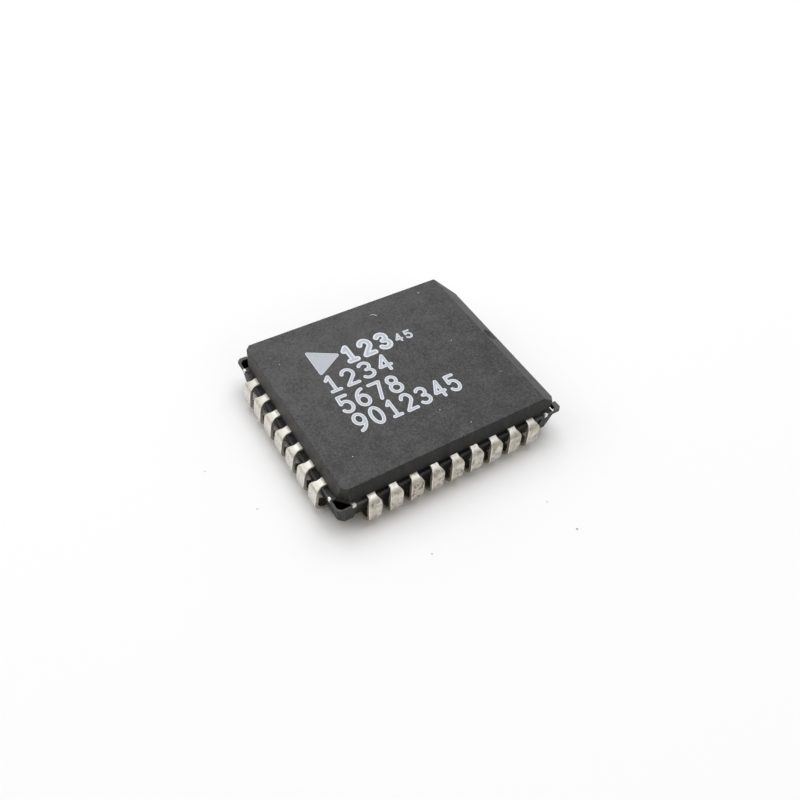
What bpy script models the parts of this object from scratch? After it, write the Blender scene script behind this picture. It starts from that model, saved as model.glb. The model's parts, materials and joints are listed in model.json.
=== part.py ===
"""A 32-lead rectangular plastic leaded chip carrier with J-bent leads.

The origin is the centre of the seating plane, +Z is up, +X points along the long
axis toward the end that carries pin 1, and the index chamfer is the corner at +X, +Y.
All sizes are in metres.
"""

import math

import bmesh
import bpy
from mathutils import Matrix, Vector

# Stamped lead frame
PITCH = 0.00127
LONG_SIDE_LEADS = 9
SHORT_SIDE_LEADS = 7
FRAME_THICKNESS = 0.00022
FRAME_TOP = 0.00208  # upper face of the frame above the seating plane

# Outside of each lead
EXIT_WIDTH = 0.00047  # where the lead leaves the moulding
LEG_WIDTH = 0.00078
FOOT_WIDTH = 0.00064
LEAD_REACH = 0.000435  # leg's outermost face beyond the body's ledge
SHOULDER_BEND = 0.00015  # inside radius
FOOT_BEND = 0.00064  # inside radius
LEG_LEAN = math.radians(4)
FOOT_STEP = math.radians(15)  # one facet of the foot, which stands on the middle one
FOOT_STEPS_INWARD = 5  # facets from the standing one to the tip
SHOULDER_FACETS = 4

# Inside of each lead
FINGER_STRAIGHT = 0.0009  # run square to the wall before the finger turns to the die
FINGER_GAP = 0.00035  # from the finger's tip to the paddle
FINGER_TIP_WIDTH = 0.00034
FINGER_CORNER_INSET = 0.00030  # last finger's centre from the paddle's corner
UNWIRED_LEADS = (1, 12, 17, 26)

# Moulded body
CORNER_MARGIN = 0.00198  # last lead's centre to the body's edge
BODY_TOP = 0.00320
BODY_BOTTOM = 0.00055
LEDGE_DROP = 0.00011  # ledge of the lower half below the frame's upper face
LEDGE_THICKNESS = 0.00017
LEDGE_EDGE = 0.00004  # small bevel along the ledge's outer edge
EAR_REACH_END = 0.00023  # thin ears of flash stand out from the ledge beside two corners
EAR_REACH_SIDE = 0.00011
EAR_LENGTH = 0.00062  # from the corner along the edge
UPPER_STEP_PIN_1_END = 0.00003  # upper half's setback from the ledge's edge at each wall
UPPER_STEP_FAR_END = 0.00031
UPPER_STEP_SIDES = 0.00020
UPPER_DRAFT = math.radians(4)
LOWER_DRAFT = math.radians(8)
INDEX_CHAMFER = 0.00118
INDEX_CHAMFER_TOP = 0.00102
UPPER_CORNER_CHAMFER = 0.00060
UPPER_CORNER_CHAMFER_TOP = 0.00024
LEDGE_CORNER_CHAMFER = 0.00018
TOP_EDGE_ROUND = 0.00005

# Slope at the pin 1 end of the upper half
BEVEL_RUN = 0.00105
BEVEL_DROP = 0.00078
DIMPLE_DIAMETER = 0.00092
DIMPLE_DEPTH = 0.00020
DIMPLE_SHIFT = 0.00020  # the mark sits a little to one side of pin 1
DIMPLE_PLACE = 0.47  # share of the way down the slope

# Corner blocks and lead rows of the lower half
BLOCK_SETBACK = 0.00002  # block's face from the ledge's edge, just under the ledge
BLOCK_CORNER_CHAMFER = 0.00034
RIM_WIDTH = 0.00010
GROOVE_DEPTH = 0.00036
ROW_GROOVE_DEPTH = 0.00010
BLOCK_LENGTH = 0.00114  # from the body's edge to the end of the corner block, at the ledge
BLOCK_SLANT = 0.00008  # how much shorter the block is at its foot
ROW_RECESS_ENDS = 0.00008
ROW_RECESS_SIDES = 0.00014
POCKET_SIDE_GAP = 0.00010
POCKET_END_GAP = 0.00012
POCKET_HEAD_GAP = 0.00010
EJECTOR_DIAMETER = 0.00150
EJECTOR_DEPTH = 0.00005
EJECTOR_SPACING = 0.00560

# Paddle and its tie bars
PADDLE_LENGTH = 0.00560
PADDLE_WIDTH = 0.00460
PADDLE_CORNER = 0.00022
PADDLE_DOWNSET = 0.00020
DOWNSET_RUN = 0.00030
TIE_WIDTH = 0.00026
FORK_SETBACK = 0.00038  # fork's distance inward of the two cut ends, in X and in Y
STUB_INSET = 0.00092  # cut end's centre from the body's corner
STUB_WIDTH = 0.00019
STUB_STRAIGHT = 0.00045
STUB_PROUD = 0.00002

# Die, its adhesive and its bond wires
DIE_LENGTH = 0.00460
DIE_WIDTH = 0.00380
DIE_THICKNESS = 0.00038
ATTACH_THICKNESS = 0.00003
ATTACH_FILLET = 0.00008
WIRE_DIAMETER = 0.000034
WIRE_SIDES = 5
WIRE_LOOP = 0.00024
WIRE_PAD_INSET = 0.00014
WIRE_CORNER_INSET = 0.00030  # last bond pad from the die's corner
WIRE_TIP_INSET = 0.00018
BOND_DEPTH = 0.00003

# Room that a piece keeps to the piece around or under it
CLEARANCE = 0.00001

# Worked out from the sizes above
BODY_HALF_X = (LONG_SIDE_LEADS - 1) * PITCH / 2 + CORNER_MARGIN
BODY_HALF_Y = (SHORT_SIDE_LEADS - 1) * PITCH / 2 + CORNER_MARGIN
LEDGE_TOP = FRAME_TOP - LEDGE_DROP
LEDGE_UNDERSIDE = LEDGE_TOP - LEDGE_THICKNESS
FRAME_BOTTOM = FRAME_TOP - FRAME_THICKNESS
UPPER_HALF_X = BODY_HALF_X - UPPER_STEP_FAR_END
UPPER_STRETCH = UPPER_STEP_FAR_END - UPPER_STEP_PIN_1_END
UPPER_HALF_Y = BODY_HALF_Y - UPPER_STEP_SIDES
PADDLE_TOP = FRAME_TOP - PADDLE_DOWNSET
ATTACH_BOTTOM = PADDLE_TOP + CLEARANCE
DIE_BOTTOM = ATTACH_BOTTOM + ATTACH_THICKNESS + CLEARANCE
DIE_TOP = DIE_BOTTOM + DIE_THICKNESS
FOOT_OUTER = FOOT_BEND + FRAME_THICKNESS
FOOT_CENTRE_HEIGHT = FOOT_OUTER * math.cos(FOOT_STEP / 2)
FOOT_TIP_ANGLE = -math.pi / 2 - FOOT_STEP * (FOOT_STEPS_INWARD - 0.5)
CORNERS = ((1, 1), (-1, 1), (-1, -1), (1, -1))
EXTRA = 0.0004  # how far a cutter runs past the face it opens


def clear_scene():
    for obj in list(bpy.data.objects):
        bpy.data.objects.remove(obj)


def material(name, colour, roughness, metallic=0.0):
    made = bpy.data.materials.new(name)
    made.use_nodes = True
    shader = made.node_tree.nodes["Principled BSDF"]
    shader.inputs["Base Color"].default_value = (*colour, 1.0)
    shader.inputs["Roughness"].default_value = roughness
    shader.inputs["Metallic"].default_value = metallic
    return made


def mesh_object(name, bm, look):
    """Object from this mesh, smooth over the facets of a bend and sharp everywhere else."""
    bmesh.ops.recalc_face_normals(bm, faces=bm.faces)
    mesh = bpy.data.meshes.new(name)
    bm.to_mesh(mesh)
    bm.free()
    mesh.shade_smooth()
    mesh.set_sharp_from_angle(angle=math.radians(25))
    mesh.materials.append(look)
    return bpy.data.objects.new(name, mesh)


def add_piece(name, bm, look):
    obj = mesh_object(name, bm, look)
    bpy.context.scene.collection.objects.link(obj)
    return obj


def add_operand(group, name, bm, look):
    obj = mesh_object(name, bm, look)
    obj.hide_render = True
    obj.display_type = "WIRE"
    group.objects.link(obj)


def operand_group(name):
    group = bpy.data.collections.new(name)
    bpy.context.scene.collection.children.link(group)
    return group


def combine(obj, group, operation):
    """Live Boolean with every object in the group, by the exact solver."""
    step = obj.modifiers.new(group.name, "BOOLEAN")
    step.operation = operation
    step.operand_type = "COLLECTION"
    step.collection = group
    step.solver = "EXACT"
    step.material_mode = "TRANSFER"


def outline(half_x, half_y, chamfer, index_chamfer, stretch=0.0):
    """Body outline seen from above, with the index chamfer at the +X, +Y corner.

    The stretch is how much further the pin 1 end reaches than the far end.
    """
    points = []
    for sign_x, sign_y in CORNERS:
        cut = index_chamfer if sign_x > 0 and sign_y > 0 else chamfer
        reach_x = half_x + stretch if sign_x > 0 else half_x
        end = (sign_x * reach_x, sign_y * (half_y - cut))
        side = (sign_x * (reach_x - cut), sign_y * half_y)
        points += [end, side] if sign_x * sign_y > 0 else [side, end]
    return points


def rectangle(x_low, x_high, y_low, y_high):
    return [(x_low, y_low), (x_high, y_low), (x_high, y_high), (x_low, y_high)]


def turned(points, quarter):
    """Plan points turned about the origin by a number of quarter turns."""
    for _ in range(quarter):
        points = [(-y, x) for x, y in points]
    return points


def turned_mesh(bm, quarter):
    turn = Matrix.Rotation(quarter * math.pi / 2, 3, "Z")
    bmesh.ops.rotate(bm, verts=bm.verts, matrix=turn)
    return bm


def solid_through(sections):
    """Closed solid through sections with equal numbers of corners, with both ends capped."""
    bm = bmesh.new()
    rings = [[bm.verts.new(corner) for corner in section] for section in sections]
    for near, far in zip(rings, rings[1:]):
        for i in range(len(near)):
            j = (i + 1) % len(near)
            bm.faces.new((near[i], near[j], far[j], far[i]))
    bm.faces.new(reversed(rings[0]))
    bm.faces.new(rings[-1])
    return bm


def loft(levels):
    """Closed solid through plan outlines given as (height, points), from low to high."""
    return solid_through([[(x, y, z) for x, y in points] for z, points in levels])


def prism(points, low, high):
    return loft([(low, points), (high, points)])


def lead_places():
    """Number, quarter turn, edge distance, place along the side and share, for each lead.

    The quarter turn brings local +X to the side's outward direction. The share runs
    from -1 to 1 along the side. The leads go counter-clockwise, and pin 1 is the middle
    lead of the +X end.
    """
    total = 2 * (LONG_SIDE_LEADS + SHORT_SIDE_LEADS)
    first = (SHORT_SIDE_LEADS - 1) // 2
    count = 0
    for quarter in range(4):
        leads = LONG_SIDE_LEADS if quarter % 2 else SHORT_SIDE_LEADS
        edge = BODY_HALF_Y if quarter % 2 else BODY_HALF_X
        for i in range(leads):
            step = i - (leads - 1) / 2
            number = (count - first) % total + 1
            yield number, quarter, edge, step * PITCH, step * 2 / (leads - 1)
            count += 1


def half_sizes(quarter, length, width):
    """Half of a centred rectangle's size, square to the side and along it."""
    return (width / 2, length / 2) if quarter % 2 else (length / 2, width / 2)


def finger_tip(quarter, share):
    """Distance from the centre and place along the side of a finger's tip."""
    across, along = half_sizes(quarter, PADDLE_LENGTH, PADDLE_WIDTH)
    return across + FINGER_GAP, share * (along - FINGER_CORNER_INSET)


def finger_stations(quarter, edge, along, share, grow):
    """Flat finger as (distance, middle, half width), from its tip outward."""
    tip, tip_along = finger_tip(quarter, share)
    half_tip = FINGER_TIP_WIDTH / 2 + grow
    return [
        (tip - grow, tip_along, half_tip),
        (tip + 2 * WIRE_TIP_INSET, tip_along, half_tip),
        (edge - FINGER_STRAIGHT, along, EXIT_WIDTH / 2 + grow),
    ]


def flat_section(distance, middle, half_width, low, high):
    return [
        (distance, middle + half_width, high),
        (distance, middle - half_width, high),
        (distance, middle - half_width, low),
        (distance, middle + half_width, low),
    ]


def bend_stations(edge):
    """Bent part's centre line as (distance, height, angle, half width), from the shoulder on."""
    half = FRAME_THICKNESS / 2
    shoulder_radius = SHOULDER_BEND + half
    foot_radius = FOOT_BEND + half
    foot_centre = edge + LEAD_REACH - FOOT_OUTER
    cosine, sine = math.cos(LEG_LEAN), math.sin(LEG_LEAN)
    leg_line = foot_centre * cosine + FOOT_CENTRE_HEIGHT * sine + foot_radius
    bend_height = FRAME_TOP - half - shoulder_radius
    bend_centre = (leg_line - shoulder_radius - bend_height * sine) / cosine
    stations = []
    for k in range(SHOULDER_FACETS + 1):
        share = k / SHOULDER_FACETS
        angle = math.pi / 2 + (LEG_LEAN - math.pi / 2) * share
        distance = bend_centre + shoulder_radius * math.cos(angle)
        height = bend_height + shoulder_radius * math.sin(angle)
        width = EXIT_WIDTH + (LEG_WIDTH - EXIT_WIDTH) * math.sin(share * math.pi / 2)
        stations.append((distance, height, angle, width / 2))
    steps_down = math.floor(math.pi / 2 / FOOT_STEP)
    angles = [LEG_LEAN]
    for k in range(steps_down + FOOT_STEPS_INWARD):
        angles.append(-math.pi / 2 + FOOT_STEP * (steps_down - 0.5 - k))
    for angle in angles:
        distance = foot_centre + foot_radius * math.cos(angle)
        height = FOOT_CENTRE_HEIGHT + foot_radius * math.sin(angle)
        share = min(max(-angle / (math.pi / 2), 0.0), 1.0)
        width = LEG_WIDTH + (FOOT_WIDTH - LEG_WIDTH) * share
        stations.append((distance, height, angle, width / 2))
    return stations


def bent_section(distance, height, angle, half_width, along):
    out = Vector((math.cos(angle), 0.0, math.sin(angle))) * FRAME_THICKNESS / 2
    centre = Vector((distance, along, height))
    wide = Vector((0.0, half_width, 0.0))
    return [centre + out + wide, centre + out - wide, centre - out - wide, centre - out + wide]


def lead_solid(quarter, edge, along, share):
    sections = [
        flat_section(*station, FRAME_BOTTOM, FRAME_TOP)
        for station in finger_stations(quarter, edge, along, share, 0.0)
    ]
    sections += [bent_section(*station, along) for station in bend_stations(edge)]
    return solid_through(sections)


def finger_room(quarter, edge, along, share):
    """Room in the moulding for one finger, open past the ledge's edge."""
    stations = finger_stations(quarter, edge, along, share, CLEARANCE)
    stations.append((edge + EXTRA, *stations[-1][1:]))
    low, high = FRAME_BOTTOM - CLEARANCE, FRAME_TOP + CLEARANCE
    return solid_through([flat_section(*station, low, high) for station in stations])


def wire_solid(quarter, share, start_height, radius):
    """Bond wire from a pad at the die's edge, up and over to the top of a finger's tip."""
    across, along = half_sizes(quarter, DIE_LENGTH, DIE_WIDTH)
    tip, tip_along = finger_tip(quarter, share)
    pad = Vector((across - WIRE_PAD_INSET, share * (along - WIRE_CORNER_INSET), DIE_TOP))
    bond = Vector((tip + WIRE_TIP_INSET, tip_along, FRAME_TOP - BOND_DEPTH))
    crest = Vector((0.0, 0.0, WIRE_LOOP))
    path = [
        Vector((pad.x, pad.y, start_height)),
        pad + crest * 0.75,
        pad.lerp(bond, 0.15) + crest,
        pad.lerp(bond, 0.80) + crest * 0.60,
        bond,
    ]
    run = Vector((bond.x - pad.x, bond.y - pad.y, 0.0)).normalized()
    level = Vector((-run.y, run.x, 0.0))
    turns = [2 * math.pi * k / WIRE_SIDES for k in range(WIRE_SIDES)]
    sections = []
    for i, point in enumerate(path):
        before, after = path[max(i - 1, 0)], path[min(i + 1, len(path) - 1)]
        upright = level.cross((after - before).normalized())
        section = [level * math.cos(turn) + upright * math.sin(turn) for turn in turns]
        sections.append([point + spoke * radius for spoke in section])
    return solid_through(sections)


def index_stub(grow, reach):
    """Plan corners of the single cut end in the middle of the index chamfer, left then right."""
    middle = Vector((BODY_HALF_X, BODY_HALF_Y)) - Vector((1, 1)) * INDEX_CHAMFER / 2
    outward = Vector((1, 1)).normalized()
    left = Vector((-outward.y, outward.x)) * (STUB_WIDTH / 2 + grow)
    start = middle - outward * STUB_STRAIGHT
    end = middle + outward * reach
    return [start + left, start - left, end + left, end - left]


def paddle_solid(grow, reach):
    """Die paddle with its four tie bars, whose cut ends reach past the body's edge.

    Three bars fork to both sides of their corner block. The one at the index chamfer
    runs straight out through the chamfer.
    """
    bm = bmesh.new()
    top = FRAME_TOP + grow
    low = PADDLE_TOP + grow
    half_bar = TIE_WIDTH / 2 + grow
    half_stub = STUB_WIDTH / 2 + grow
    half_x, half_y = PADDLE_LENGTH / 2 + grow, PADDLE_WIDTH / 2 + grow
    stub_x, stub_y = BODY_HALF_X - STUB_INSET, BODY_HALF_Y - STUB_INSET
    knee_x, knee_y = BODY_HALF_X - STUB_STRAIGHT, BODY_HALF_Y - STUB_STRAIGHT
    root = Vector((half_x, half_y)) - Vector((1, 1)) * PADDLE_CORNER / 2
    fork = Vector((stub_x, stub_y)) - Vector((1, 1)) * FORK_SETBACK
    ahead = (fork - root).normalized()
    left = Vector((-ahead.y, ahead.x)) * half_bar
    step = root + ahead * DOWNSET_RUN
    crotch = fork + ahead * half_bar * 2
    middle = []
    for sign_x, sign_y in CORNERS:

        def corner(x, y, z=top):
            return bm.verts.new((sign_x * x, sign_y * y, z))

        root_left = corner(half_x - PADDLE_CORNER, half_y, low)
        root_right = corner(half_x, half_y - PADDLE_CORNER, low)
        step_left, step_right = corner(*(step + left)), corner(*(step - left))
        fork_left, fork_right = corner(*(fork + left)), corner(*(fork - left))
        bm.faces.new((root_left, root_right, step_right, step_left))
        bm.faces.new((step_left, step_right, fork_right, fork_left))
        middle += [root_right, root_left] if sign_x * sign_y > 0 else [root_left, root_right]
        if sign_x > 0 and sign_y > 0:
            stub = [corner(*point) for point in index_stub(grow, reach)]
            bm.faces.new((fork_left, fork_right, stub[1], stub[0]))
            bm.faces.new((stub[0], stub[1], stub[3], stub[2]))
            continue
        inside = corner(*crotch)
        side_knee = [corner(stub_x - half_stub, knee_y), corner(stub_x + half_stub, knee_y)]
        end_knee = [corner(knee_x, stub_y + half_stub), corner(knee_x, stub_y - half_stub)]
        side_y, end_x = BODY_HALF_Y + reach, BODY_HALF_X + reach
        side_end = [corner(stub_x - half_stub, side_y), corner(stub_x + half_stub, side_y)]
        end_end = [corner(end_x, stub_y + half_stub), corner(end_x, stub_y - half_stub)]
        bm.faces.new((fork_left, fork_right, inside))
        bm.faces.new((fork_left, inside, side_knee[1], side_knee[0]))
        bm.faces.new((inside, fork_right, end_knee[1], end_knee[0]))
        bm.faces.new((side_knee[0], side_knee[1], side_end[1], side_end[0]))
        bm.faces.new((end_knee[0], end_knee[1], end_end[1], end_end[0]))
    bm.faces.new(middle)
    bmesh.ops.recalc_face_normals(bm, faces=bm.faces)
    sheet = bmesh.ops.extrude_face_region(bm, geom=bm.faces[:])
    moved = [item for item in sheet["geom"] if isinstance(item, bmesh.types.BMVert)]
    bmesh.ops.translate(bm, verts=moved, vec=(0.0, 0.0, -FRAME_THICKNESS - 2 * grow))
    return bm


def die_block(low, high, margin_low, margin_high):
    """Block over the die's outline, with its own margin at the bottom and at the top."""
    levels = []
    for height, margin in ((low, margin_low), (high, margin_high)):
        half_x, half_y = DIE_LENGTH / 2 + margin, DIE_WIDTH / 2 + margin
        levels.append((height, rectangle(-half_x, half_x, -half_y, half_y)))
    return loft(levels)


def ledge():
    """Plate round the parting line, with a small bevel along its upper edge."""
    levels = []
    for height, inset in (
        (LEDGE_UNDERSIDE, 0.0),
        (LEDGE_TOP - LEDGE_EDGE, 0.0),
        (LEDGE_TOP, LEDGE_EDGE),
    ):
        half_x, half_y = BODY_HALF_X - inset, BODY_HALF_Y - inset
        levels.append((height, outline(half_x, half_y, LEDGE_CORNER_CHAMFER, INDEX_CHAMFER)))
    return loft(levels)


def lower_half():
    """Lower half of the moulding, from the middle of the ledge down to its narrow bottom."""
    levels = []
    for height in (BODY_BOTTOM, LEDGE_TOP - LEDGE_THICKNESS / 2):
        inset = BLOCK_SETBACK + (LEDGE_UNDERSIDE - height) * math.tan(LOWER_DRAFT)
        half_x, half_y = BODY_HALF_X - inset, BODY_HALF_Y - inset
        levels.append((height, outline(half_x, half_y, BLOCK_CORNER_CHAMFER, INDEX_CHAMFER)))
    return loft(levels)


def ear(quarter, hand, reach):
    """Ear of flash at one end of a side, as thick as the ledge. The hand is 1 or -1."""
    edge, along = half_sizes(quarter, 2 * BODY_HALF_X, 2 * BODY_HALF_Y)
    cut = LEDGE_CORNER_CHAMFER
    points = [
        (edge - cut, hand * along),
        (edge - cut + reach, hand * along),
        (edge + reach, hand * (along - cut)),
        (edge + reach, hand * (along - EAR_LENGTH)),
        (edge - cut, hand * (along - EAR_LENGTH)),
    ]
    return prism(turned(points, quarter), LEDGE_UNDERSIDE, LEDGE_TOP)


def slope_point(share, along):
    """Point of the pin 1 end's slope, from its upper edge at share 0 to its lower edge at 1."""
    low_height = BODY_TOP - BEVEL_DROP
    low_x = UPPER_HALF_X + UPPER_STRETCH - (low_height - FRAME_TOP) * math.tan(UPPER_DRAFT)
    return Vector((low_x - BEVEL_RUN * (1 - share), along, BODY_TOP - BEVEL_DROP * share))


def slope_normal():
    return Vector((BEVEL_DROP, 0.0, BEVEL_RUN)).normalized()


def upper_half():
    """Upper half of the moulding, down to below the grooves, with the pin 1 end's slope."""
    inset = (BODY_TOP - FRAME_TOP) * math.tan(UPPER_DRAFT)
    top_x, top_y = UPPER_HALF_X - inset, UPPER_HALF_Y - inset
    cut, cut_top = UPPER_CORNER_CHAMFER, UPPER_CORNER_CHAMFER_TOP
    base = outline(UPPER_HALF_X, UPPER_HALF_Y, cut, INDEX_CHAMFER, UPPER_STRETCH)
    top = outline(top_x, top_y, cut_top, INDEX_CHAMFER_TOP, UPPER_STRETCH)
    skirt = LEDGE_TOP - GROOVE_DEPTH - EXTRA
    bm = loft([(skirt, base), (FRAME_TOP, base), (BODY_TOP, top)])
    cut = bmesh.ops.bisect_plane(
        bm,
        geom=bm.verts[:] + bm.edges[:] + bm.faces[:],
        dist=1e-8,
        plane_co=slope_point(1.0, 0.0),
        plane_no=slope_normal(),
        clear_outer=True,
    )
    rim = [item for item in cut["geom_cut"] if isinstance(item, bmesh.types.BMEdge)]
    bmesh.ops.edgeloop_fill(bm, edges=rim)
    lowest = FRAME_TOP + TOP_EDGE_ROUND
    soft = [edge for edge in bm.edges if all(vert.co.z > lowest for vert in edge.verts)]
    bmesh.ops.bevel(
        bm, geom=soft, offset=TOP_EDGE_ROUND, segments=2, profile=0.5, affect="EDGES"
    )
    return bm


def dimple():
    """Ball that presses the pin 1 mark into the slope."""
    radius = ((DIMPLE_DIAMETER / 2) ** 2 + DIMPLE_DEPTH**2) / (2 * DIMPLE_DEPTH)
    bm = bmesh.new()
    bmesh.ops.create_uvsphere(bm, u_segments=32, v_segments=20, radius=radius)
    normal = slope_normal()
    centre = slope_point(DIMPLE_PLACE, DIMPLE_SHIFT) + normal * (radius - DIMPLE_DEPTH)
    turn = normal.to_track_quat("Z", "Y").to_matrix().to_4x4()
    bmesh.ops.transform(bm, matrix=Matrix.Translation(centre) @ turn, verts=bm.verts)
    return bm


def corner_groove(sign_x, sign_y):
    """Trough behind the rim of one corner block, between the two cut ends of the tie bar."""
    length = STUB_INSET - STUB_WIDTH / 2
    cut = LEDGE_CORNER_CHAMFER
    x, y = BODY_HALF_X - RIM_WIDTH, BODY_HALF_Y - RIM_WIDTH
    inner_x, inner_y = BODY_HALF_X - length, BODY_HALF_Y - length
    points = [(inner_x, inner_y), (x, inner_y), (x, y - cut), (x - cut, y), (inner_x, y)]
    points = [(sign_x * px, sign_y * py) for px, py in points]
    return prism(points, LEDGE_TOP - GROOVE_DEPTH, LEDGE_TOP + EXTRA)


def row_wall(quarter, edge):
    """Distance from the centre to the wall behind a row of legs, just under the ledge."""
    return edge - (ROW_RECESS_SIDES if quarter % 2 else ROW_RECESS_ENDS)


def row_groove(quarter):
    """Shallow trough behind the rim along a row of leads, which bridge it."""
    edge, along = half_sizes(quarter, 2 * BODY_HALF_X, 2 * BODY_HALF_Y)
    outer = edge - RIM_WIDTH
    half = along - STUB_INSET - STUB_WIDTH / 2
    plan = rectangle(outer - EXTRA, outer, -half, half)
    return prism(turned(plan, quarter), LEDGE_TOP - ROW_GROOVE_DEPTH, LEDGE_TOP + EXTRA)


def row_recess(quarter):
    """Space behind a row of legs, under the ledge.

    On the two long sides it lies between two slanted corner blocks. At the two ends it
    runs right across.
    """
    edge, along = half_sizes(quarter, 2 * BODY_HALF_X, 2 * BODY_HALF_Y)
    low = BODY_BOTTOM - EXTRA
    half_high = along - BLOCK_LENGTH if quarter % 2 else along + EXTRA
    half_low = half_high + BLOCK_SLANT
    levels = []
    for height, half in ((low, half_low), (LEDGE_UNDERSIDE, half_high)):
        draft = (LEDGE_UNDERSIDE - height) * math.tan(LOWER_DRAFT)
        wall = row_wall(quarter, edge) - draft
        levels.append((height, turned(rectangle(wall, edge + EXTRA, -half, half), quarter)))
    return loft(levels)


def tip_pocket(quarter, edge, along):
    """Pocket in the underside for the tip of one lead, open to the recess behind the legs."""
    foot_centre = edge + LEAD_REACH - FOOT_OUTER
    inner = foot_centre + FOOT_OUTER * math.cos(FOOT_TIP_ANGLE) - POCKET_END_GAP
    tip_top = FOOT_CENTRE_HEIGHT + FOOT_BEND * math.sin(FOOT_TIP_ANGLE)
    half = FOOT_WIDTH / 2 + POCKET_SIDE_GAP
    plan = rectangle(inner, row_wall(quarter, edge), along - half, along + half)
    return prism(turned(plan, quarter), BODY_BOTTOM - EXTRA, tip_top + POCKET_HEAD_GAP)


def ejector_mark(side):
    bm = bmesh.new()
    radius = EJECTOR_DIAMETER / 2
    bmesh.ops.create_cone(
        bm, cap_ends=True, segments=32, radius1=radius, radius2=radius, depth=2 * EJECTOR_DEPTH
    )
    bmesh.ops.translate(bm, verts=bm.verts, vec=(side * EJECTOR_SPACING / 2, 0.0, BODY_BOTTOM))
    return bm


def build_body(epoxy):
    body = add_piece("package_body", ledge(), epoxy)
    lower = operand_group("lower_half")
    add_operand(lower, "lower_half", lower_half(), epoxy)
    add_operand(lower, "ear", ear(0, -1, EAR_REACH_END), epoxy)
    add_operand(lower, "ear", ear(1, 1, EAR_REACH_SIDE), epoxy)
    combine(body, lower, "UNION")
    grooves = operand_group("corner_grooves")
    for sign_x, sign_y in CORNERS[1:]:
        add_operand(grooves, "corner_groove", corner_groove(sign_x, sign_y), epoxy)
    for quarter in (1, 2, 3):
        add_operand(grooves, "row_groove", row_groove(quarter), epoxy)
    combine(body, grooves, "DIFFERENCE")
    top = operand_group("upper_half")
    add_operand(top, "upper_half", upper_half(), epoxy)
    combine(body, top, "UNION")
    cuts = operand_group("outer_cuts")
    add_operand(cuts, "dimple", dimple(), epoxy)
    for side in (-1, 1):
        add_operand(cuts, "ejector_mark", ejector_mark(side), epoxy)
    for quarter in range(4):
        add_operand(cuts, "row_recess", row_recess(quarter), epoxy)
    for number, quarter, edge, along, share in lead_places():
        add_operand(cuts, "tip_pocket", tip_pocket(quarter, edge, along), epoxy)
    combine(body, cuts, "DIFFERENCE")
    rooms = operand_group("inner_rooms")
    add_operand(rooms, "paddle_room", paddle_solid(CLEARANCE, EXTRA), epoxy)
    margin = ATTACH_FILLET + CLEARANCE
    attach_room = die_block(PADDLE_TOP, DIE_BOTTOM + CLEARANCE, margin, margin)
    add_operand(rooms, "attach_room", attach_room, epoxy)
    die_room = die_block(DIE_BOTTOM - CLEARANCE, DIE_TOP + CLEARANCE, CLEARANCE, CLEARANCE)
    add_operand(rooms, "die_room", die_room, epoxy)
    for number, quarter, edge, along, share in lead_places():
        room = finger_room(quarter, edge, along, share)
        add_operand(rooms, "finger_room", turned_mesh(room, quarter), epoxy)
        if number not in UNWIRED_LEADS:
            room = wire_solid(quarter, share, DIE_TOP, WIRE_DIAMETER / 2 + CLEARANCE)
            add_operand(rooms, "wire_room", turned_mesh(room, quarter), epoxy)
    combine(body, rooms, "DIFFERENCE")


def build_leads(tinned, gold):
    for number, quarter, edge, along, share in lead_places():
        bm = lead_solid(quarter, edge, along, share)
        bmesh.ops.translate(bm, verts=bm.verts, vec=(-edge, -along, 0.0))
        lead = add_piece(f"lead_{number:02d}", bm, tinned)
        lead.rotation_euler.z = quarter * math.pi / 2
        lead.location = (*turned([(edge, along)], quarter)[0], 0.0)
        if number not in UNWIRED_LEADS:
            bond = operand_group(f"bond_{number:02d}")
            wire = wire_solid(quarter, share, DIE_TOP + CLEARANCE, WIRE_DIAMETER / 2)
            add_operand(bond, f"wire_{number:02d}", turned_mesh(wire, quarter), gold)
            combine(lead, bond, "UNION")


def main():
    clear_scene()
    epoxy = material("moulded_epoxy", (0.085, 0.085, 0.087), 0.55)
    tinned = material("tinned_copper", (0.78, 0.75, 0.70), 0.32, 1.0)
    copper = material("frame_copper", (0.83, 0.52, 0.36), 0.35, 1.0)
    silicon = material("silicon", (0.16, 0.17, 0.20), 0.18, 0.6)
    adhesive = material("silver_adhesive", (0.60, 0.60, 0.60), 0.50, 0.4)
    gold = material("gold_wire", (0.95, 0.73, 0.33), 0.25, 1.0)
    build_body(epoxy)
    build_leads(tinned, gold)
    add_piece("die_paddle", paddle_solid(0.0, STUB_PROUD), copper)
    attach_top = ATTACH_BOTTOM + ATTACH_THICKNESS
    add_piece("die_attach", die_block(ATTACH_BOTTOM, attach_top, ATTACH_FILLET, 0.0), adhesive)
    add_piece("silicon_die", die_block(DIE_BOTTOM, DIE_TOP, 0.0, 0.0), silicon)


main()
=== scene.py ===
import json
import math
import random

import bmesh
import bpy
from mathutils import Matrix, Vector

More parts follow.
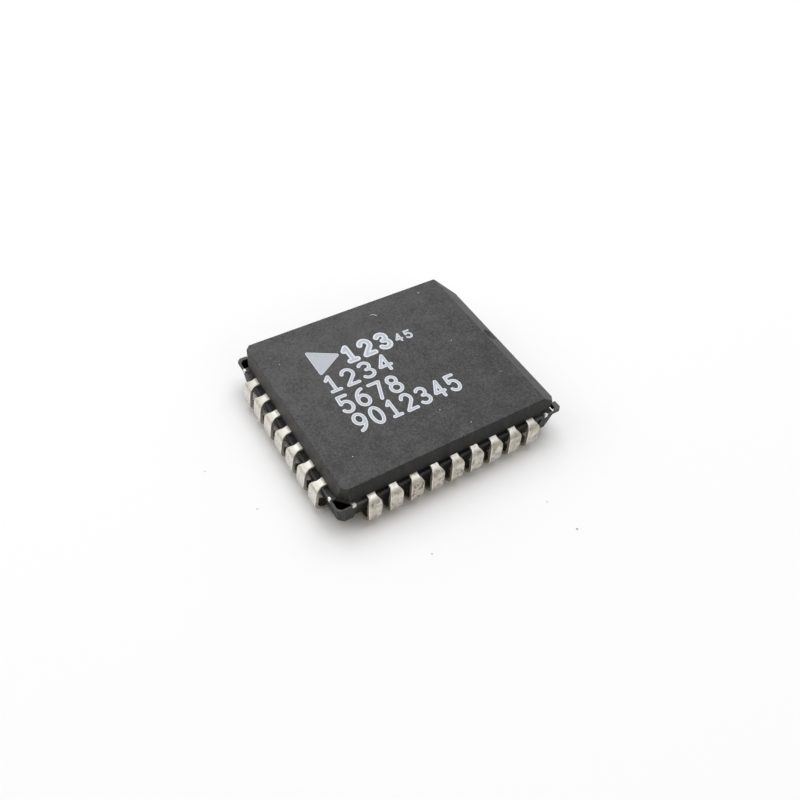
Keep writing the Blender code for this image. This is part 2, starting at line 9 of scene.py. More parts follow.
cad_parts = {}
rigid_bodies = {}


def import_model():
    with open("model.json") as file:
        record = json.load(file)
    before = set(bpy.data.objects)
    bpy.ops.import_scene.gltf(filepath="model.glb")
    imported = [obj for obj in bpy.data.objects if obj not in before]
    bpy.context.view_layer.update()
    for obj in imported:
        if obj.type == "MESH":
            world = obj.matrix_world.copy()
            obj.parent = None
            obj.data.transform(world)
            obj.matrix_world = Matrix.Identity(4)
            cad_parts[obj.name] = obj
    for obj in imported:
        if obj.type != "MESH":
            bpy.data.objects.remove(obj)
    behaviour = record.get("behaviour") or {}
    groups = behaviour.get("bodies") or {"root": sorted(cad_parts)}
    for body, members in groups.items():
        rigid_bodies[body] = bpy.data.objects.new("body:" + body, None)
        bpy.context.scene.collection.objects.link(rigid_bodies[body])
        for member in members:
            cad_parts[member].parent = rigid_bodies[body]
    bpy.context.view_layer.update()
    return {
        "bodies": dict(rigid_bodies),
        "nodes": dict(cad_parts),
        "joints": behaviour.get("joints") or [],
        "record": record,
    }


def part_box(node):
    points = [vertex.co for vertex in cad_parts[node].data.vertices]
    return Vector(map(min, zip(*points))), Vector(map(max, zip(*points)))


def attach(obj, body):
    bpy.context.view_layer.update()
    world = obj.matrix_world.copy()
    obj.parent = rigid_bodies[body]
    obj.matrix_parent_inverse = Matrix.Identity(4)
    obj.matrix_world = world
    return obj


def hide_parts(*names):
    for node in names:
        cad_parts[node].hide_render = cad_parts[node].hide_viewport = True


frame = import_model()
nodes = frame["nodes"]
mm = 0.001
random.seed(11)
print("frame loaded:", len(nodes), "nodes")


# Shader sockets as numbers, so that a pattern reads as a sum

class Signal:
    def __init__(self, tree, socket):
        self.tree = tree
        self.socket = socket

    def maths(self, operation, *others):
        step = self.tree.nodes.new("ShaderNodeMath")
        step.operation = operation
        for slot, value in enumerate((self, *others)):
            feed(self.tree, step.inputs[slot], value)
        return Signal(self.tree, step.outputs[0])

    def reflected(self, operation, other):
        step = self.tree.nodes.new("ShaderNodeMath")
        step.operation = operation
        feed(self.tree, step.inputs[0], other)
        feed(self.tree, step.inputs[1], self)
        return Signal(self.tree, step.outputs[0])

    def __add__(self, other):
        return self.maths("ADD", other)

    def __radd__(self, other):
        return self.maths("ADD", other)

    def __sub__(self, other):
        return self.maths("SUBTRACT", other)

    def __rsub__(self, other):
        return self.reflected("SUBTRACT", other)

    def __mul__(self, other):
        return self.maths("MULTIPLY", other)

    def __rmul__(self, other):
        return self.maths("MULTIPLY", other)

    def __truediv__(self, other):
        return self.maths("DIVIDE", other)

    def __rtruediv__(self, other):
        return self.reflected("DIVIDE", other)

    def __pow__(self, other):
        return self.maths("POWER", other)

    def __abs__(self):
        return self.maths("ABSOLUTE")

    def low(self, other):
        return self.maths("MINIMUM", other)

    def high(self, other):
        return self.maths("MAXIMUM", other)

    def fade(self, start, end):  # 0 below start, 1 past end, soft between
        step = self.tree.nodes.new("ShaderNodeMapRange")
        step.interpolation_type = "SMOOTHSTEP"
        feed(self.tree, step.inputs["Value"], self)
        feed(self.tree, step.inputs["From Min"], start)
        feed(self.tree, step.inputs["From Max"], end)
        return Signal(self.tree, step.outputs[0])


def feed(tree, socket, value):
    if isinstance(value, Signal):
        tree.links.new(value.socket, socket)
    elif hasattr(value, "__len__") and len(value) == 3 and socket.type == "RGBA":
        socket.default_value = (*value, 1.0)
    else:
        socket.default_value = value


class Look:
    def __init__(self, name):
        self.material = bpy.data.materials.new(name)
        self.material.use_nodes = True
        self.tree = self.material.node_tree
        self.shader = self.tree.nodes["Principled BSDF"]

    def node(self, kind, settings=None, output=0, **values):
        step = self.tree.nodes.new("ShaderNode" + kind)
        for key, value in (settings or {}).items():
            setattr(step, key, value)
        for key, value in values.items():
            name = key if key in step.inputs else key.replace("_", " ")
            feed(self.tree, step.inputs[name], value)
        return Signal(self.tree, step.outputs[output])

    def place(self):  # object coordinates, in metres
        return self.node("TexCoord", output="Object")

    def axes(self, vector):
        step = self.tree.nodes.new("ShaderNodeSeparateXYZ")
        feed(self.tree, step.inputs[0], vector)
        return [Signal(self.tree, out) for out in step.outputs]

    def attribute(self, name):
        return self.node("Attribute", {"attribute_name": name}, output="Fac")

    def noise(self, size, detail=3.0, roughness=0.5, at=None):  # size in metres
        where = at or self.place()
        return self.node("TexNoise", Vector=where, Scale=1 / size, Detail=detail,
                         Roughness=roughness)

    def cells(self, size, at=None, feature="F1", randomness=1.0):
        where = at or self.place()
        return self.node("TexVoronoi", {"feature": feature}, output="Distance", Vector=where,
                         Scale=1 / size, Randomness=randomness)

    def blend(self, share, first, second):
        step = self.tree.nodes.new("ShaderNodeMix")
        step.data_type = "RGBA"
        feed(self.tree, step.inputs[0], share)
        feed(self.tree, step.inputs[6], first)
        feed(self.tree, step.inputs[7], second)
        return Signal(self.tree, step.outputs[2])

    def relief(self, height, distance, strength=1.0):
        return self.node("Bump", Height=height, Distance=distance, Strength=strength)

    def set(self, **values):
        for key, value in values.items():
            feed(self.tree, self.shader.inputs[key.replace("_", " ")], value)
        return self.material


def plainLook(name, first, second, size, roughness, metallic):
    look = Look(name)
    tone = look.noise(size, 3, 0.6)
    colour = look.blend(tone.fade(0.3, 0.7), first, second)
    look.set(Base_Color=colour, Metallic=metallic, Roughness=roughness + (tone - 0.5) * 0.15)
    look.set(Normal=look.relief(tone, size * 0.05, 0.5))
    return look.material


def paint(obj, *materials):
    slots = obj.data.materials
    while len(slots) < len(materials):
        slots.append(None)
    for i, made in enumerate(materials):
        slots[i] = made


def addObject(name, bm, *materials):
    mesh = bpy.data.meshes.new(name)
    bm.to_mesh(mesh)
    bm.free()
    obj = bpy.data.objects.new(name, mesh)
    bpy.context.scene.collection.objects.link(obj)
    paint(obj, *materials)
    return obj


def addPiece(name, bm, slotName, *materials):
    piece = addObject(name, bm, *materials)
    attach(piece, "root")
    return piece


def smooth(piece, angle):  # soft across small turns, crisp across large ones
    piece.data.polygons.foreach_set("use_smooth", [True] * len(piece.data.polygons))
    piece.data.set_sharp_from_angle(angle=math.radians(angle))
    weigh = piece.modifiers.new("weigh", "WEIGHTED_NORMAL")
    weigh.keep_sharp = True


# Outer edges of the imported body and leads, broken as moulding and plating leave them

bodyLow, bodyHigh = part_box("package_body")
ledgeHalf = Vector((-bodyLow.x, -bodyLow.y))
topHeight = bodyHigh.z
edgeSizes = {
    "mergeGap": 0.00001 * mm,
    "flatTurn": 0.6,  # degrees; triangles of one flat face become one face again
    "skin": 0.85 * mm,  # how far inside the body's box an edge still shows
    "sharpTurn": 38,  # degrees
    "segments": 2,
}


def mergedCopy(name):
    bm = bmesh.new()
    bm.from_mesh(nodes[name].data)
    bmesh.ops.remove_doubles(bm, verts=bm.verts, dist=edgeSizes["mergeGap"])
    bmesh.ops.dissolve_limit(bm, angle_limit=math.radians(edgeSizes["flatTurn"]), verts=bm.verts,
                             edges=bm.edges)
    return bm


def outside(vert):
    skin = edgeSizes["skin"]
    return (vert.co.x < bodyLow.x + skin or vert.co.x > bodyHigh.x - skin
            or vert.co.y < bodyLow.y + skin or vert.co.y > bodyHigh.y - skin)


def breakEdges(bm, width, shortest):
    sharp = [edge for edge in bm.edges
             if edge.calc_face_angle_signed(0) > math.radians(edgeSizes["sharpTurn"])
             and edge.calc_length() > shortest
             and all(outside(vert) for vert in edge.verts)]
    made = bmesh.ops.bevel(bm, geom=sharp, offset=width, offset_type="OFFSET", affect="EDGES",
                           segments=edgeSizes["segments"], profile=0.5, material=-1)
    return made["faces"]


def mark(bm, name, faces, value):  # a value on whole faces, for the finishes to read
    layer = bm.loops.layers.float.get(name) or bm.loops.layers.float.new(name)
    for face in faces:
        for loop in face.loops:
            loop[layer] = value


# The moulded body. Colours are linear, and a pair is the dark and the pale end of a mottle

bodyFinish = {
    "top": ((0.022, 0.022, 0.022), (0.096, 0.094, 0.096)),
    # the walls are far darker than the top: partly a smoother finish, partly painted shade
    "wall": ((0.004, 0.004, 0.004), (0.020, 0.019, 0.018)),
    # painted light: a lighter tone for the −X end walls, as their lit side
    "paintedLitWall": ((0.019, 0.019, 0.018), (0.068, 0.067, 0.063)),
    # painted light: a lighter tone for the lower walls and the corner grooves, lifting them out of
    # their shade
    "paintedLightLow": ((0.014, 0.015, 0.013), (0.046, 0.046, 0.042)),
    # lighter broken edges: partly rubbing, partly painted highlight
    "wornAndHighlight": (0.135, 0.133, 0.130),
    # painted light: a pale tone lifting the corner pockets out of their shade
    "pocket": (0.095, 0.093, 0.088),
    "fleck": (0.16, 0.16, 0.165),
    "edge": 0.020 * mm,
    "ledge": 2.0 * mm,  # the ledge's upper face lies just under this, and the lead frame above
    "pocketFloor": 1.50 * mm,
    "rimWidth": 0.13 * mm,
    "chamfer": 0.18 * mm,
    "cornerFrom": 10.8 * mm,  # of |x| + |y|
    "cornerFull": 11.6 * mm,
    "dents": 0.007 * mm,
}


def epoxyLook():  # matte and mottled on top, smoother and darker on the drafted walls, partly as painted shade; painted light on the −X end, the lower walls and the corner pockets; lighter broken edges, partly rubbing and partly painted highlight
    look = Look("mouldedEpoxy")
    finish = bodyFinish
    ledge = finish["ledge"]
    sideways, _, upward = look.axes(look.node("NewGeometry", output="Normal"))
    x, y, level = look.axes(look.place())

    # Where each finish lies
    above = level.fade(ledge, ledge + 0.1 * mm)
    below = 1 - level.fade(ledge - 0.1 * mm, ledge)
    corner = (abs(x) + abs(y)).fade(finish["cornerFrom"], finish["cornerFull"])
    # the ledge's upper face is kept out of the top, so it takes the dark wall tone as painted shade
    onTop = upward.fade(0.50, 0.75) * above
    # painted light: the lower half's walls and the corner grooves' floors, lifted out of their
    # shade
    onPaintedLightLow = below * (1 - upward.fade(0.3, 0.6) * (1 - corner))
    onPaintedLitWall = (0 - sideways).fade(0.45, 0.65) * above  # the plain end and its corners, painted lighter as the lit side
    fromSides = (abs(x) - ledgeHalf.x).high(abs(y) - ledgeHalf.y)
    fromChamfer = (abs(x) + abs(y) - ledgeHalf.x - ledgeHalf.y + finish["chamfer"]) * 0.707
    fromEdge = fromSides.high(fromChamfer)
    onRim = (fromEdge + finish["rimWidth"]).fade(0.0, 0.03 * mm) * corner * (1 - above)
    # painted light for the corner pockets, which lie deep in shade
    pocketPaintedLight = (1 - onRim) * corner * (1 - above)
    pocketPaintedLight = pocketPaintedLight * level.fade(finish["pocketFloor"], finish["pocketFloor"] + 0.1 * mm)

    # Patterns, from coarse to fine
    cloud = look.noise(1.1 * mm, 4, 0.6)
    stretched = look.node("Mapping", Vector=look.place(), Scale=(1.0, 1.0, 0.05))
    streak = look.noise(0.2 * mm, 2, 0.5, at=stretched)
    mottle = look.noise(0.13 * mm, 4, 0.75)
    grain = look.noise(0.06 * mm, 2, 0.6)
    flecks = (1 - look.cells(0.11 * mm).fade(0.10, 0.22)) * mottle.fade(0.50, 0.60)
    tone = 0.5 + (cloud - 0.5) * 0.5 + (mottle - 0.5) * 1.1 + (grain - 0.5) * 0.9
    tone = tone + (y - x * 0.35).fade(-5.0 * mm, 6.0 * mm) * 0.16 - 0.08  # greyer at the back and left: painted light, as the top is lit from there
    streaked = (tone * 0.5 + streak * 0.5).fade(0.35, 0.65)

    top = look.blend(tone.fade(0.15, 0.85), *finish["top"])
    wall = look.blend(tone.fade(0.2, 0.8), *finish["wall"])
    # painted light: the −X end wall takes a lighter, streaked tone as if lit from that side
    wall = look.blend(onPaintedLitWall, wall, look.blend(streaked, *finish["paintedLitWall"]))
    wall = look.blend(onPaintedLightLow, wall, look.blend(tone.fade(0.2, 0.8), *finish["paintedLightLow"]))
    colour = look.blend(onTop, wall, top)
    colour = look.blend(flecks * 0.7, colour, finish["fleck"])
    # lighter broken edges, strongest on the ledge and corners: partly rubbing, partly painted
    # highlight
    wornAndHighlight = look.attribute("wornAndHighlight") * (0.35 + mottle.fade(0.35, 0.6) * 0.65)
    wornAndHighlight = wornAndHighlight * (0.06 + (1 - above) * (0.2 + corner * 0.35))
    # painted highlight: the lit outer rims of the ledge at the corners
    paintedRimHighlight = onRim * upward.fade(0.4, 0.7) * (0.55 + mottle.fade(0.35, 0.65) * 0.35)
    colour = look.blend(wornAndHighlight.high(paintedRimHighlight), colour, finish["wornAndHighlight"])
    # painted light: the corner pockets lifted out of their shade
    colour = look.blend(pocketPaintedLight * 0.8, colour, finish["pocket"])

    rough = look.node("Mix", Factor=onTop, A=0.58 + (streak - 0.5) * 0.3,
                      B=0.50 + (grain - 0.5) * 0.2)
    bumps = look.node("Mix", Factor=onTop, A=grain * 0.4 + streak * 0.6,
                      B=mottle * 0.55 + grain * 0.45)
    return look.set(Base_Color=colour, Roughness=rough, Specular_IOR_Level=0.32,
                    Normal=look.relief(bumps, finish["dents"], 0.8))


def dressBody():
    bm = mergedCopy("package_body")
    edge = bodyFinish["edge"]
    # broken edges, for a lighter tone that is partly rubbing and partly painted highlight
    mark(bm, "wornAndHighlight", breakEdges(bm, edge, 3 * edge), 1.0)
    piece = addPiece("moulded_body", bm, "moulded_epoxy", epoxyLook())
    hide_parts("package_body")


dressBody()
print("body dressed")


# The leads, with the wires that are bonded to them

leadFinish = {
    "bright": (0.82, 0.795, 0.735),
    "dull": (0.36, 0.315, 0.24),
    "pit": (0.10, 0.08, 0.06),
    "sheared": (0.35, 0.30, 0.21),
    # painted highlight on the broken rims of the leads
    "rim": (0.98, 0.96, 0.92),
    "dents": 0.016 * mm,
    "sideWearAndShade": (0.7, 1.0),  # least and most scraping, for the leads of a long side; their darker legs are partly painted shade
    "endWearAndShade": (0.05, 0.25),
    "wire": ("bondGold", (0.85, 0.62, 0.25), (0.95, 0.74, 0.35), 0.03 * mm, 0.3, 1.0),
}
leadSizes = {
    "edge": 0.036 * mm,
    "smoothTurn": 16,  # degrees
    "fallStart": 0.20 * mm,  # inside the ledge's edge, where the shoulder begins to fall
    "fallRun": 0.27 * mm,
    "fall": 0.08 * mm,
    "fallFoot": 1.2 * mm,  # nothing falls below this height
    "fallHeight": 0.5 * mm,
    "taperTop": 1.15 * mm,
    "taperFoot": 0.35 * mm,
    "footShare": 0.84,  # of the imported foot's width
}


def tinLook():  # satin plate with a painted highlight on its rims; scraping and pits down the face of the leg, darkened partly as painted shade; painted shade low on the leg
    look = Look("tinPlate")
    finish = leadFinish
    height = look.axes(look.place())[2]
    blotch = look.noise(0.30 * mm, 3, 0.6)
    pits = look.noise(0.19 * mm, 2, 0.55)
    fine = look.noise(0.05 * mm, 3, 0.65)
    sheared = look.attribute("sheared")
    # painted highlight along the broken rims of the leg
    rim = look.attribute("rim") * height.fade(0.2 * mm, 0.9 * mm)
    unscraped = 1 - look.attribute("scrapedAndShaded")
    # scraping darkens the leg below the shoulder, partly real and partly painted shade; the
    # shoulder stays bright
    scrapedAndShaded = look.attribute("scrapedAndShaded") * (1 - height.fade(1.90 * mm, 2.02 * mm))
    leg = 1 - height.fade(1.60 * mm, 1.90 * mm)
    dull = (blotch.fade(0.36, 0.62) * 0.5 + fine.fade(0.36, 0.62) * 0.5) * 0.75 + 0.25
    # painted shade: the leg darker towards its foot, where it mirrors the shadowed floor
    paintedLowShade = (1 - height.fade(0.4 * mm, 1.5 * mm)) * (0.45 + fine.fade(0.36, 0.62) * 0.2)
    dull = (dull * (0.25 + scrapedAndShaded * 0.75)).high(paintedLowShade)
    pit = pits.fade(0.52, 0.66) * blotch.fade(0.40, 0.56) * scrapedAndShaded
    colour = look.blend(dull, finish["bright"], finish["dull"])
    colour = look.blend(pit * 0.85, colour, finish["pit"])
    colour = look.blend(sheared * (1 - rim) * 0.9, colour, finish["sheared"])
    colour = look.blend(rim * 0.7, colour, finish["rim"])
    rough = 0.44 - unscraped * leg * 0.24 + (blotch - 0.5) * 0.2
    rough = rough + pit * 0.3 + sheared * 0.2 - rim * 0.12
    bumps = blotch * 0.35 + pits * 0.3 * scrapedAndShaded - pit * 0.4 + fine * 0.2
    return look.set(Base_Color=colour, Metallic=0.85 - sheared * 0.5 - pit * 0.4, Roughness=rough,
                    Normal=look.relief(bumps, finish["dents"], 0.8))


def cutAcross(bm, point, normal):  # gives the verts of a bend somewhere to stand
    bmesh.ops.bisect_plane(bm, geom=bm.verts[:] + bm.edges[:] + bm.faces[:], plane_co=point,
                           plane_no=normal)


def roundShoulder(bm, outward, edge):  # the run out of the body falls away before the bend
    start = edge - leadSizes["fallStart"]
    cutAcross(bm, outward * start, outward)
    for vert in bm.verts:
        share = (vert.co.dot(outward) - start) / leadSizes["fallRun"]
        rise = (vert.co.z - leadSizes["fallFoot"]) / leadSizes["fallHeight"]
        vert.co.z -= leadSizes["fall"] * min(max(share, 0.0), 1.0) * min(max(rise, 0.0), 1.0)


def narrowFoot(bm, across):  # the leg tapers towards its foot, on both sheared sides
    along = Vector((1 - across, across, 0))
    top = leadSizes["taperTop"]
    cutAcross(bm, (0, 0, top), (0, 0, 1))
    leg = [vert for vert in bm.verts if vert.co.z < top]
    places = [vert.co[across] for vert in leg]
    middle = (min(places) + max(places)) / 2
    for vert in leg:
        share = min((top - vert.co.z) / (top - leadSizes["taperFoot"]), 1.0)
        vert.co += along * (vert.co[across] - middle) * (leadSizes["footShare"] - 1) * share


def dressLead(name, tin, gold):
    bm = mergedCopy(name)
    middle = (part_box(name)[0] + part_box(name)[1]) / 2
    onLongSide = abs(middle.y) > ledgeHalf.y - 2 * mm
    across = 0 if onLongSide else 1  # the axis along the row, which the sheared sides face
    outward = Vector((0, math.copysign(1, middle.y), 0) if onLongSide
                     else (math.copysign(1, middle.x), 0, 0))
    roundShoulder(bm, outward, ledgeHalf.y if onLongSide else ledgeHalf.x)
    narrowFoot(bm, across)
    # the long sides get more: partly real scraping, partly painted shade
    wearAndShade = random.uniform(*leadFinish["sideWearAndShade" if onLongSide else "endWearAndShade"])
    # the full dull cut-metal tone on the long sides, a lighter share on the short sides as painted
    # light
    mark(bm, "sheared", [face for face in bm.faces if abs(face.normal[across]) > 0.9],
         1.0 if onLongSide else 0.6)
    mark(bm, "scrapedAndShaded", bm.faces, wearAndShade)
    # the broken rims carry a painted highlight
    mark(bm, "rim", breakEdges(bm, leadSizes["edge"], leadSizes["edge"]), 1.0)
    looks = [tin, gold][:len(nodes[name].data.materials)]
    piece = addPiece("tinned_" + name, bm, "tinned_lead", *looks)
    smooth(piece, leadSizes["smoothTurn"])
    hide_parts(name)


tin = tinLook()
gold = plainLook(*leadFinish["wire"])
for name in [name for name in nodes if name.startswith("lead_")]:
    dressLead(name, tin, gold)
print("leads dressed")


# Inside the body: the paddle with its tie bars, the adhesive and the die

paddleFinish = {
    "metal": ((0.88, 0.87, 0.80), (0.70, 0.68, 0.62)),
    "film": ((0.02, 0.02, 0.02), (0.06, 0.055, 0.05)),
    "cutEnd": (0.11 * mm, 0.14 * mm),  # from the ledge's edge, where a bar shows bare metal
    "cutFull": (0.06 * mm, 0.08 * mm),
    "dents": 0.005 * mm,
}
innerFinishes = {
    # name of the look, dark, pale, size of the mottle, roughness, metallic
    "die_attach": ("silverAdhesive", (0.5, 0.5, 0.5), (0.65, 0.65, 0.65), 0.05 * mm, 0.5, 0.4),
    "silicon_die": ("silicon", (0.10, 0.11, 0.14), (0.16, 0.17, 0.20), 0.2 * mm, 0.2, 0.6),
}


def paddleLook():  # bright where it is cut, filmed over with epoxy where it lies in the moulding
    look = Look("stampedPaddle")
    upward = look.axes(look.node("NewGeometry", output="Normal"))[2]
    x, y, _ = look.axes(look.place())
    (startX, startY), (fullX, fullY) = paddleFinish["cutEnd"], paddleFinish["cutFull"]
    cutX = abs(x).fade(ledgeHalf.x - startX, ledgeHalf.x - fullX)
    cutY = abs(y).fade(ledgeHalf.y - startY, ledgeHalf.y - fullY)
    film = upward.fade(0.3, 0.7) * (1 - cutX.high(cutY))
    tone = look.noise(0.1 * mm, 3, 0.6)
    metal = look.blend(tone.fade(0.3, 0.7), *paddleFinish["metal"])
    filmed = look.blend(tone.fade(0.3, 0.7), *paddleFinish["film"])
    return look.set(Base_Color=look.blend(film, metal, filmed), Metallic=0.8 - film * 0.8,
                    Roughness=0.4 + (tone - 0.5) * 0.15,
                    Normal=look.relief(tone, paddleFinish["dents"], 0.5))


paint(nodes["die_paddle"], paddleLook())
for name, finish in innerFinishes.items():
    paint(nodes[name], plainLook(*finish))
print("inner pieces painted")


# Ink marking: plain counting digits and a plain arrowhead, drawn with a round pen

markSizes = {
    "filmHeight": 0.006 * mm,
    "penSides": 12,
    "arcStep": 15,  # degrees of an arc for one ring of the pen
    "tipTurns": (78, 58, 38, 18),  # degrees; rings of a stroke's round end
    "arrowPlace": (-3.42 * mm, 2.60 * mm),
    "arrowRadius": 1.16 * mm,
    "arrowCorner": 0.20 * mm,
    "arrowRidge": 0.05 * mm,
}
markFinish = {
    "edge": (0.74, 0.77, 0.82),
    "face": (0.44, 0.47, 0.53),
    "pore": (0.12, 0.12, 0.13),
}
markRows = [
    # text, left, foot, height, width of a digit, step to the next, pen; all in mm
    ("123", -2.32, 1.66, 1.40, 0.96, 1.12, 0.36),
    ("45", 1.06, 1.84, 0.68, 0.50, 0.64, 0.13),
    ("1234", -4.22, 0.22, 1.30, 0.90, 1.10, 0.22),
    ("5678", -4.22, -1.40, 1.34, 0.86, 1.00, 0.22),
    ("9012345", -4.10, -2.80, 1.30, 0.80, 0.97, 0.22),
]
# Digits in a box 1 wide and 1 high: "line" through points, or "arc" as centre, radii, from, to
digitStrokes = {
    "0": [("arc", 0.5, 0.5, 0.5, 0.5, 0, 360)],
    "1": [("line", (0.22, 0.78), (0.56, 1.0), (0.56, 0.0)), ("line", (0.18, 0.0), (0.94, 0.0))],
    "2": [("arc", 0.5, 0.70, 0.47, 0.30, 165, -35),
          ("line", (0.885, 0.53), (0.03, 0.0), (0.98, 0.0))],
    "3": [("arc", 0.46, 0.76, 0.44, 0.24, 150, -90), ("arc", 0.46, 0.26, 0.50, 0.26, 90, -150)],
    "4": [("line", (0.72, 0.0), (0.72, 1.0), (0.0, 0.30), (1.0, 0.30))],
    "5": [("line", (0.90, 1.0), (0.16, 1.0), (0.10, 0.56)),
          ("arc", 0.47, 0.33, 0.49, 0.33, 130, -150)],
    "6": [("arc", 0.5, 0.31, 0.48, 0.31, 0, 360), ("arc", 0.95, 0.31, 0.93, 0.69, 180, 97)],
    "7": [("line", (0.02, 1.0), (0.98, 1.0), (0.36, 0.0))],
    "8": [("arc", 0.5, 0.77, 0.40, 0.23, 0, 360), ("arc", 0.5, 0.27, 0.49, 0.27, 0, 360)],
    "9": [("arc", 0.5, 0.69, 0.48, 0.31, 0, 360), ("arc", 0.05, 0.69, 0.93, 0.69, 0, -83)],
}


def strokePath(stroke):
    kind, *values = stroke
    if kind == "line":
        return [Vector((x, y)) for x, y in values], False
    x, y, radiusX, radiusY, first, last = values
    steps = max(3, round(abs(last - first) / markSizes["arcStep"]))
    closed = abs(last - first) == 360
    turns = [math.radians(first + (last - first) * i / steps) for i in range(steps + (not closed))]
    return [Vector((x + radiusX * math.cos(t), y + radiusY * math.sin(t))) for t in turns], closed


def penFrame(point, along, half, height):  # carries a unit ring to a flat one across the path
    sideways = Vector((along.y, -along.x, 0.0))
    turned = Matrix((sideways * half, Vector((0, 0, height)), along * half)).transposed()
    return Matrix.Translation(point) @ turned.to_4x4()


def tipFrames(point, along, half, height):  # rings that grow from a round tip behind the point
    frames = []
    for turn in markSizes["tipTurns"]:
        share = math.cos(math.radians(turn))
        back = along * half * math.sin(math.radians(turn))
        frames.append(penFrame(point - back, along, half * share, height * share))
    return frames


def pathFrames(path, closed, half, height):
    count = len(path)
    frames = []
    for i, point in enumerate(path):
        before = path[i - 1] if closed or i > 0 else point
        after = path[(i + 1) % count] if closed or i < count - 1 else point
        frames.append(penFrame(point, (after - before).normalized(), half, height))
    if closed:
        return frames + frames[:1]
    first = (path[1] - path[0]).normalized()
    last = (path[-1] - path[-2]).normalized()
    ending = [penFrame(2 * path[-1] - frame.translation, last, frame.col[0].length,
                       frame.col[1].length)
              for frame in reversed(tipFrames(path[-1], last, half, height))]
    return tipFrames(path[0], first, half, height) + frames + ending


def sweep(bm, path, closed, half, height):  # a ring of verts drawn along the path, all in quads
    frames = pathFrames(path, closed, half, height)
    ring = bmesh.ops.create_circle(bm, segments=markSizes["penSides"], radius=1.0)["verts"]
    bmesh.ops.transform(bm, matrix=frames[0], verts=ring)
    edges = list({edge for vert in ring for edge in vert.link_edges})
    firstEdges = edges
    swept = list(ring)
    for before, after in zip(frames, frames[1:]):
        made = bmesh.ops.extrude_edge_only(bm, edges=edges)["geom"]
        ring = [item for item in made if isinstance(item, bmesh.types.BMVert)]
        edges = [item for item in made if isinstance(item, bmesh.types.BMEdge)
                 and all(vert in ring for vert in item.verts)]
        bmesh.ops.transform(bm, matrix=after @ before.inverted(), verts=ring)
        swept += ring
    if closed:
        bmesh.ops.remove_doubles(bm, verts=swept, dist=edgeSizes["mergeGap"])
    else:
        bmesh.ops.edgeloop_fill(bm, edges=firstEdges)
        bmesh.ops.edgeloop_fill(bm, edges=edges)


def drawRow(bm, text, left, foot, height, width, step, pen):
    for i, digit in enumerate(text):
        corner = Vector((left + i * step + pen / 2, foot + pen / 2, topHeight / mm))
        for stroke in digitStrokes[digit]:
            path, closed = strokePath(stroke)
            placed = [(corner + Vector((point.x * (width - pen), point.y * (height - pen), 0))) * mm
                      for point in path]
            runs = [placed] if stroke[0] == "arc" else list(zip(placed, placed[1:]))
            for run in runs:
                sweep(bm, run, closed, pen / 2 * mm, markSizes["filmHeight"])


def drawArrow(bm):  # a plain rounded arrowhead toward the pin 1 end
    corners = bmesh.ops.create_circle(bm, segments=3, radius=markSizes["arrowRadius"],
                                      cap_ends=True)["verts"]
    bmesh.ops.rotate(bm, verts=corners, matrix=Matrix.Rotation(math.radians(-90), 3, "Z"))
    bmesh.ops.translate(bm, verts=corners, vec=(*markSizes["arrowPlace"], topHeight))
    bmesh.ops.bevel(bm, geom=corners, offset=markSizes["arrowCorner"], offset_type="OFFSET",
                    affect="VERTICES", segments=6, profile=0.5, material=-1)
    raised = bmesh.ops.extrude_face_region(bm, geom=bm.faces[:])["geom"]
    face = next(item for item in raised if isinstance(item, bmesh.types.BMFace))
    bmesh.ops.translate(bm, verts=face.verts, vec=(0, 0, markSizes["filmHeight"] * 0.5))
    bmesh.ops.inset_region(bm, faces=[face], thickness=markSizes["arrowRidge"],
                           depth=markSizes["filmHeight"] * 0.5)


def inkLook():  # thin in the middle of a stroke, heaped at its edges
    look = Look("whiteInk")
    rise = (look.axes(look.place())[2] - topHeight) / markSizes["filmHeight"]
    mottle = look.noise(0.05 * mm, 3, 0.7)
    pore = look.noise(0.03 * mm, 2, 0.6)
    ridge = 1 - rise.fade(0.78, 0.97)
    colour = look.blend(ridge.high(mottle.fade(0.52, 0.66) * 0.7), markFinish["face"],
                        markFinish["edge"])
    colour = look.blend(pore.fade(0.60, 0.72) * (1 - ridge) * 0.55, colour, markFinish["pore"])
    return look.set(Base_Color=colour, Roughness=0.55 + (mottle - 0.5) * 0.2,
                    Normal=look.relief(mottle, 0.003 * mm, 0.6))


ink = bmesh.new()
drawArrow(ink)
for row in markRows:
    drawRow(ink, *row)
bmesh.ops.recalc_face_normals(ink, faces=ink.faces)
marking = addPiece("ink_marking", ink, "moulded_epoxy", inkLook())
marking.data.polygons.foreach_set("use_smooth", [True] * len(marking.data.polygons))
print("marking drawn:", len(marking.data.polygons), "faces")


# Dust on the top face, one bent fibre, and a few specks on the floor

dustPlaces = {
    # x, y, radius of each grain; mm
    "top": ((4.38, 4.85, 0.045), (0.40, -3.44, 0.035), (1.39, -4.90, 0.035), (-5.2, -3.9, 0.03),
            (3.9, 0.6, 0.03), (-5.6, 3.4, 0.03), (5.0, -2.7, 0.025)),
    "floor": ((4.10, -11.62, 0.055), (-9.89, -2.45, 0.035), (-3.43, -9.09, 0.04),
              (-11.27, 1.0, 0.03), (3.77, -9.50, 0.035)),
}
fibreSizes = {"place": (0.86, 4.22), "bend": 0.26, "from": 100, "to": 10, "steps": 8,
              "thickness": 0.016}  # mm and degrees
dustFinishes = {
    # name of the look, dark, pale, size of the mottle, roughness, metallic
    "top": ("paleDust", (0.55, 0.54, 0.50), (0.75, 0.74, 0.70), 0.02 * mm, 0.8, 0.0),
    "fibre": ("paleFibre", (0.75, 0.74, 0.72), (0.85, 0.84, 0.82), 0.05 * mm, 0.7, 0.0),
    "floor": ("greyDust", (0.36, 0.35, 0.34), (0.48, 0.47, 0.46), 0.03 * mm, 0.8, 0.0),
}


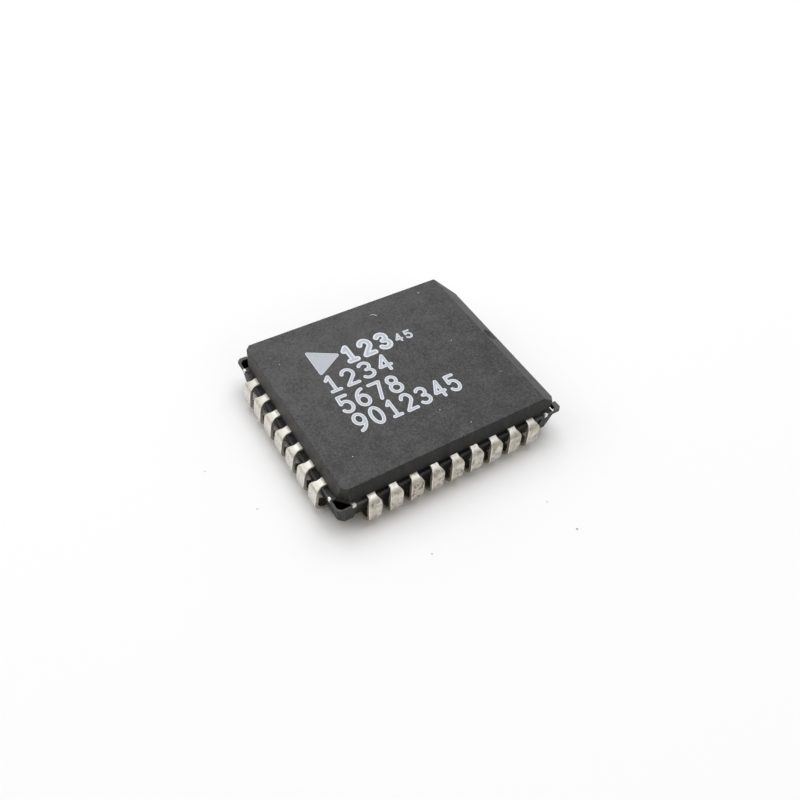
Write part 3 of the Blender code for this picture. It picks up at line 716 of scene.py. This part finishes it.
def grains(places, height):
    bm = bmesh.new()
    for x, y, radius in places:
        made = bmesh.ops.create_icosphere(bm, subdivisions=2, radius=radius * mm)["verts"]
        for vert in made:
            vert.co *= random.uniform(0.75, 1.15)
            vert.co.z *= 0.6
        bmesh.ops.translate(bm, verts=made, vec=(x * mm, y * mm, height + radius * 0.35 * mm))
    return bm


def fibre():
    bm = bmesh.new()
    x, y = fibreSizes["place"]
    thickness = fibreSizes["thickness"]
    path = []
    for i in range(fibreSizes["steps"] + 1):
        share = i / fibreSizes["steps"]
        turn = math.radians(fibreSizes["from"] + (fibreSizes["to"] - fibreSizes["from"]) * share)
        path.append(Vector((x + fibreSizes["bend"] * math.cos(turn),
                            y + fibreSizes["bend"] * math.sin(turn),
                            topHeight / mm + thickness * 0.8)) * mm)
    sweep(bm, path, False, thickness * mm, thickness * mm)
    bmesh.ops.recalc_face_normals(bm, faces=bm.faces)
    return bm


addPiece("top_dust", grains(dustPlaces["top"], topHeight), "moulded_epoxy",
         plainLook(*dustFinishes["top"]))
addPiece("top_fibre", fibre(), "moulded_epoxy", plainLook(*dustFinishes["fibre"]))
specks = addObject("floor_specks", grains(dustPlaces["floor"], 0.0),
                   plainLook(*dustFinishes["floor"]))
print("dust laid")


# Floor, light and camera

studio = {
    "floorReach": 0.6,
    "floorTones": ((0.95, 0.953, 0.955), (0.96, 0.955, 0.962)),
    "fillColour": (1.0, 0.96, 0.87, 1.0),
    "fillStrength": 0.355,
    "lamps": (
        # name, place, size in metres, power, colour
        ("keyBox", (0.05, 0.08, 0.31), (0.33, 0.29), 0.83, (0.97, 0.995, 1.045)),
        ("leftBox", (-0.23, 0.12, 0.20), (0.22, 0.18), 0.18, (1.0, 0.99, 0.99)),
        ("frontBox", (0.04, -0.25, 0.17), (0.22, 0.16), 0.06, (1.0, 0.98, 0.95)),
    ),
    "lens": 36.658,
    "sensor": 36.0,
    "clip": (0.002, 5.0),
    "eye": (-0.0185443, -0.0243531, 0.0359604),
    "forward": (0.40163689, 0.51863769, -0.75478656),
    "roll": 7.4291,  # degrees
}


def layFloor():
    bm = bmesh.new()
    bmesh.ops.create_grid(bm, x_segments=1, y_segments=1, size=studio["floorReach"])
    look = Look("paleFloor")
    tone = look.noise(20 * mm, 3, 0.5)
    look.set(Base_Color=look.blend(tone, *studio["floorTones"]), Roughness=0.9,
             Specular_IOR_Level=0.1)
    addObject("floor", bm, look.material)


def softLamp(name, place, size, power, colour):  # aimed at the part
    lamp = bpy.data.lights.new(name, "AREA")
    lamp.shape = "RECTANGLE"
    lamp.size, lamp.size_y = size
    lamp.energy = power
    lamp.color = colour
    obj = bpy.data.objects.new(name, lamp)
    obj.location = place
    obj.rotation_euler = (-Vector(place)).to_track_quat("-Z", "Y").to_euler()
    bpy.context.scene.collection.objects.link(obj)


def setCamera():
    camera = bpy.data.cameras.new("camera")
    camera.lens = studio["lens"]
    camera.sensor_width = studio["sensor"]
    camera.clip_start, camera.clip_end = studio["clip"]
    obj = bpy.data.objects.new("camera", camera)
    bpy.context.scene.collection.objects.link(obj)
    aim = Vector(studio["forward"]).to_track_quat("-Z", "Y").to_matrix()
    roll = Matrix.Rotation(math.radians(studio["roll"]), 3, "Z")
    obj.matrix_world = Matrix.Translation(studio["eye"]) @ (aim @ roll).to_4x4()
    bpy.context.scene.camera = obj


layFloor()
world = bpy.data.worlds.new("studio")
bpy.context.scene.world = world
world.use_nodes = True
background = world.node_tree.nodes["Background"].inputs
background["Color"].default_value = studio["fillColour"]
background["Strength"].default_value = studio["fillStrength"]
for lamp in studio["lamps"]:
    softLamp(*lamp)
setCamera()
bpy.context.scene.view_settings.view_transform = "Standard"
print("stage done")
